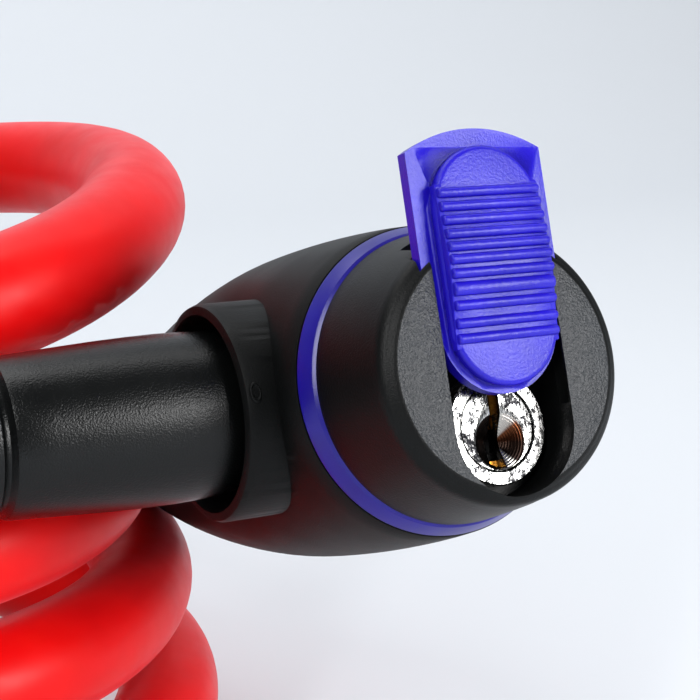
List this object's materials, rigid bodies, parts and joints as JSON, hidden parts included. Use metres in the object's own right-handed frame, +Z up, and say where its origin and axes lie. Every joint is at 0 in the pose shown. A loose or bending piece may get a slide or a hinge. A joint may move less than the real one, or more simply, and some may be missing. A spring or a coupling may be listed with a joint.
{
  "type": "cable luggage lock",
  "caption": "Spiral cable key lock: barrel-shaped head with a sliding dust cover over its key cylinder, and a red cable coil that plugs into a side socket.",
  "frame": {"origin": "on the floor at the middle of the cable coil", "axes": "+Z up along the coil's axis, -Y toward the key side, the plug end enters the head from the -X side"},
  "size_m": [0.1151, 0.1312, 0.0852],
  "materials": {
    "black_abs": "fine spark-eroded grain",
    "blue_abs": "satin, grained",
    "chrome": "bright, scratched",
    "brass": "plain",
    "zinc": "as cast",
    "steel": "zinc plated",
    "spring_steel": "bright",
    "black_rubber": "matte",
    "red_pvc": "translucent gloss over steel rope"
  },
  "bodies": {
    "head": {"rear_shell": "black_abs", "front_cap": "black_abs", "accent_ring": "blue_abs", "cylinder_housing": "chrome", "lock_body": "zinc", "housing_pin": "steel", "latch_cover": "steel", "cover_screws": "steel", "body_screws": "steel", "spacer_sleeve": "steel", "anchor_plate": "steel", "tail_ferrule": "steel", "rope_tail_end": "steel", "tail_grommet": "black_rubber", "socket_seal": "black_rubber", "cable_lead": "red_pvc", "cable_coil": "red_pvc", "cable_tail": "red_pvc"},
    "cover": {"dust_cover": "blue_abs"},
    "plug": {"key_plug": "chrome", "plug_cam": "brass", "wafer_springs": "spring_steel"},
    "latch_body": {"latch": "steel"},
    "plug_end": {"locking_pin": "steel", "pin_ferrule": "steel", "rope_plug_end": "steel", "boot": "black_abs"},
    "wafer_body_1": {"wafer_1": "brass"},
    "wafer_body_2": {"wafer_2": "brass"},
    "wafer_body_3": {"wafer_3": "brass"},
    "wafer_body_4": {"wafer_4": "brass"}
  },
  "joints": [
    {"name": "cover_slide", "type": "slide", "parent": "head", "child": "cover", "axis": [0, 0.2924, 0.9563], "range_m": [-0.0088, 0]},
    {"name": "key_turn", "type": "hinge", "parent": "head", "child": "plug", "pos_m": [0.043, -0.06589, 0.05732], "axis": [0, 0.9563, -0.2924], "range_deg": [0, 90]},
    {"name": "latch_slide", "type": "slide", "parent": "head", "child": "latch_body", "axis": [0, 0.2924, 0.9563], "range_m": [0, 0.0015]},
    {"name": "plug_pull", "type": "slide", "parent": "head", "child": "plug_end", "axis": [-1, 0, 0], "range_m": [0, 0.026], "deforming": ["cable_lead"]},
    {"name": "wafer_slide_1", "type": "slide", "parent": "plug", "child": "wafer_body_1", "axis": [0, 0.2924, 0.9563], "range_m": [-0.0007, 0]},
    {"name": "wafer_slide_2", "type": "slide", "parent": "plug", "child": "wafer_body_2", "axis": [0, 0.2924, 0.9563], "range_m": [-0.0007, 0]},
    {"name": "wafer_slide_3", "type": "slide", "parent": "plug", "child": "wafer_body_3", "axis": [0, 0.2924, 0.9563], "range_m": [-0.0007, 0]},
    {"name": "wafer_slide_4", "type": "slide", "parent": "plug", "child": "wafer_body_4", "axis": [0, 0.2924, 0.9563], "range_m": [-0.0007, 0]}
  ],
  "couplings": [
    {"joint": "key_turn", "follows": "latch_slide", "rad_per_m": 1047.2}
  ]
}
